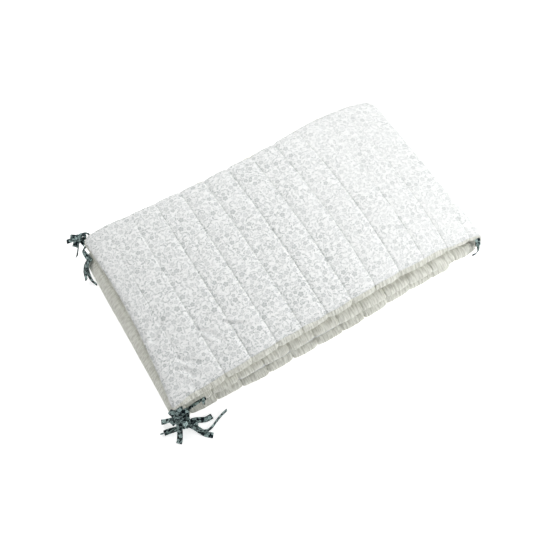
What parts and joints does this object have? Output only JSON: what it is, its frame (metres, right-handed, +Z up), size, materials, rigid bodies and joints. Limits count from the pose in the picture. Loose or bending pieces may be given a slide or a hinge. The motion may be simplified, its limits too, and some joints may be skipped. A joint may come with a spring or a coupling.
{
  "type": "crib bumper",
  "caption": "Padded, channel-quilted crib bumper folded in three, with a small-print cotton face, a crinkled muslin back that wraps its sides, and narrow fabric ties sewn into its edges.",
  "frame": {"origin": "on the surface that the folded strip rests on, under the middle of its length, in the middle of the flat underside of the bottom layer", "axes": "+X along the folded strip towards its right fold, +Y across it towards its back edge, +Z up"},
  "size_m": [0.6732, 0.4424, 0.0707],
  "materials": {
    "muslin": "undyed crinkled double gauze, matte",
    "printed_cotton": "white woven cotton with a small pale grey floral print, matte",
    "tie_cotton": "dark blue-green woven cotton with a small pale print, matte"
  },
  "bodies": {
    "root": {"quilted_pad": "muslin", "printed_panel": "printed_cotton", "tie_front_top": "tie_cotton", "tie_front_fold": "tie_cotton", "tie_back_top": "tie_cotton", "tie_back_fold": "tie_cotton", "tie_right_fold": "tie_cotton"}
  },
  "joints": []
}
